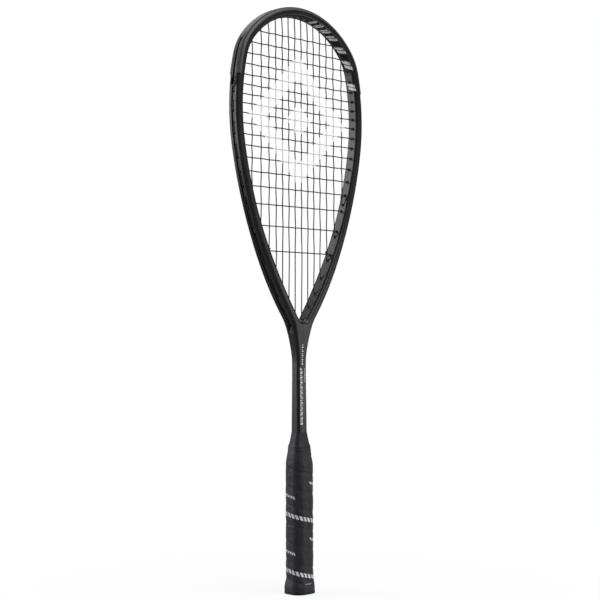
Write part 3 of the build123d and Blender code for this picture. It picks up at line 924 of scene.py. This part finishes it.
def bumper_web():
    """Slightly domed strip over the channel, narrowing to a round end on each side."""
    vertices, faces = [], []
    for step in range(WEB_ALONG + 1):
        heading = WEB_END * (2 * step / WEB_ALONG - 1)
        left = (WEB_END - abs(heading)) / WEB_TIP
        width = WEB_HALF_WIDTH * max(smooth(left) ** 0.5, WEB_NARROWEST)
        for level, dome, hand in zip(WEB_LEVELS, (WEB_DOME, 0.0), (1, -1)):
            for k in range(WEB_ACROSS + 1):
                across = hand * (2 * k / WEB_ACROSS - 1)
                offset = level + dome * (1 - across * across)
                vertices.append(at_depth(rail(heading, offset), across * width))
    ring = 2 * (WEB_ACROSS + 1)
    for step in range(WEB_ALONG):
        for k in range(ring):
            a, b = step * ring + k, step * ring + (k + 1) % ring
            faces.append((a, b, b + ring, a + ring))
    faces.append(tuple(reversed(range(ring))))
    faces.append(tuple(range(WEB_ALONG * ring, (WEB_ALONG + 1) * ring)))
    return mesh_piece("bumper_web", vertices, faces, guard)


bumper_web()

# ---------------------------------------------------------------- shaft marks
SHAFT_LEVELS = ((188.0, 14.8, 13.8, 3.2), (267.0, 14.0, 12.7, 3.2), (289.0, 19.0, 14.3, 3.2))
SHAFT_BAR_ROWS = 4
SHAFT_BAR_COLUMNS = 8
SHAFT_BAR_LEAN = 0.25
# The outline starts at the right side, so its front middle is three quarters round.
FRONT_PART = 0.75
# (foot, top, bar length, gap, from and to round the girth) of each column of bars.
SHAFT_COLUMNS = (
    (196.0, 262.0, 2.6, 1.1, 0.9, 2.6), (196.0, 262.0, 1.9, 1.3, 3.1, 4.6),
    (266.0, 289.0, 1.7, 1.2, -0.2, 1.8), (246.0, 262.0, 1.2, 0.9, -3.4, -2.4),
)
# (share of the bar length, share of the girth left out) of the bars in turn.
SHAFT_BARS = ((1.0, 0.0), (0.6, 0.25), (0.85, 0.0), (0.45, 0.4))


def shaft_marks():
    """Columns of short bars on the front left corner, and again behind."""
    vertices, faces = [], []
    for half_turn in (1, -1):
        def place(z, girth):
            width, depth, radius = level_size(SHAFT_LEVELS, z + girth * SHAFT_BAR_LEAN)
            perimeter = 2 * (width + depth) - 8 * radius + 2 * pi * radius
            x, y, nx, ny = outline_point(width, depth, radius, FRONT_PART - girth / perimeter)
            return (half_turn * (x + nx * INK_LIFT), half_turn * (y + ny * INK_LIFT), z)

        for foot, top, length, gap, inner, outer in SHAFT_COLUMNS:
            z = foot
            bars = cycle(SHAFT_BARS)
            while z < top:
                share, inset = next(bars)
                height = length * share
                corners = ((z, inner + (outer - inner) * inset), (z + height, outer))
                patch(*corners, SHAFT_BAR_ROWS, SHAFT_BAR_COLUMNS, place, vertices, faces)
                z += height + gap
    return mesh_piece("shaft_marks", vertices, faces, silver)


shaft_marks()

# ---------------------------------------------------------------- camera, light, floor
CAMERA_AZIMUTH = radians(-44.3)
CAMERA_DISTANCE = 1.6354
CAMERA_PITCH = radians(1.918)
CAMERA_ROLL = radians(-0.194)
SENSOR_WIDTH = 36.0
LENS = 83.53
LOOK_AT = Vector((0.00168, -0.00041, 0.34179))

look = Vector((-sin(CAMERA_AZIMUTH) * cos(CAMERA_PITCH),
               cos(CAMERA_AZIMUTH) * cos(CAMERA_PITCH), sin(CAMERA_PITCH)))
camera_data = bpy.data.cameras.new("camera")
camera_data.sensor_width = SENSOR_WIDTH
camera_data.lens = LENS
camera = bpy.data.objects.new("camera", camera_data)
bpy.context.scene.collection.objects.link(camera)
camera.location = LOOK_AT - look * CAMERA_DISTANCE
turned = look.to_track_quat("-Z", "Y").to_matrix() @ Matrix.Rotation(CAMERA_ROLL, 3, "Z")
camera.rotation_euler = turned.to_euler()
bpy.context.scene.camera = camera


def soft_box(name, azimuth, height, reach, size, power, aim=0.4):
    """Soft rectangular light, placed by its compass angle round the racket."""
    light = bpy.data.lights.new(name, "AREA")
    light.shape = "RECTANGLE"
    light.size, light.size_y = size
    light.energy = power
    lamp = bpy.data.objects.new(name, light)
    bpy.context.scene.collection.objects.link(lamp)
    a = radians(azimuth)
    lamp.location = (sin(a) * reach, -cos(a) * reach, height)
    aim_at = Vector((0, 0, aim)) - lamp.location
    lamp.rotation_euler = aim_at.to_track_quat("-Z", "Y").to_euler()


soft_box("key", 40, 0.24, 1.9, (0.55, 0.44), 4.5, aim=0.3)
soft_box("fill", -140, 1.0, 1.9, (0.9, 1.6), 23)
soft_box("top", 8, 2.2, 1.5, (1.6, 0.8), 46, aim=0.5)
soft_box("crown", 163, 2.2, 1.7, (1.0, 0.9), 10, aim=0.6)

# The backdrop is white to the camera, and only dimly lights the racket.
AMBIENT_LEVEL = 0.13
BACKDROP_LEVEL = 1.0
FLOOR_RADIUS = 6.0
FLOOR_DROP = 0.0003

world = bpy.data.worlds.new("studio")
world.use_nodes = True
tree = world.node_tree
shade = tree.nodes["Background"]
shade.inputs[0].default_value = (1, 1, 1, 1)
path = tree.nodes.new("ShaderNodeLightPath")
level = tree.nodes.new("ShaderNodeMapRange")
tree.links.new(path.outputs["Is Camera Ray"], level.inputs[0])
level.inputs[3].default_value = AMBIENT_LEVEL
level.inputs[4].default_value = BACKDROP_LEVEL
tree.links.new(level.outputs[0], shade.inputs[1])
bpy.context.scene.world = world
bpy.context.scene.view_settings.view_transform = "Standard"


def floor_finish():
    """White paper that brightens into the backdrop away from the racket."""
    f = Finish("floor_paper", Roughness=0.8)
    x, y, z = f.axes()
    reach = f.maths("SQRT", f.maths("ADD", f.maths("POWER", x, 2.0), f.maths("POWER", y, 2.0)))
    far = f.remap(reach, 0.02, 0.4, 0.88, 1.0)
    grain = f.noise(600.0, 3.0, 0.6)
    f.colour(f.mix(grain, (0.86, 0.86, 0.86, 1), (0.9, 0.9, 0.9, 1)))
    f.bump(grain, 0.0001, 0.2)
    seen = f.node("ShaderNodeLightPath").outputs["Is Camera Ray"]
    strength = f.remap(seen, 0.0, 1.0, 0.3, 1.0)
    glow = f.node("ShaderNodeEmission", {"Color": (1, 1, 1, 1), "Strength": strength})
    mixed = f.node("ShaderNodeMixShader", {0: far, 1: f.shader.outputs[0], 2: glow.outputs[0]})
    output = f.tree.nodes["Material Output"]
    f.feed(mixed.outputs[0], output.inputs["Surface"])
    return f.material


floor_mesh = bpy.data.meshes.new("floor")
ring = bmesh.new()
bmesh.ops.create_circle(ring, cap_ends=True, radius=FLOOR_RADIUS, segments=96)
ring.to_mesh(floor_mesh)
ring.free()
floor_mesh.materials.append(floor_finish())
floor = bpy.data.objects.new("floor", floor_mesh)
bpy.context.scene.collection.objects.link(floor)
floor.location.z = -FLOOR_DROP
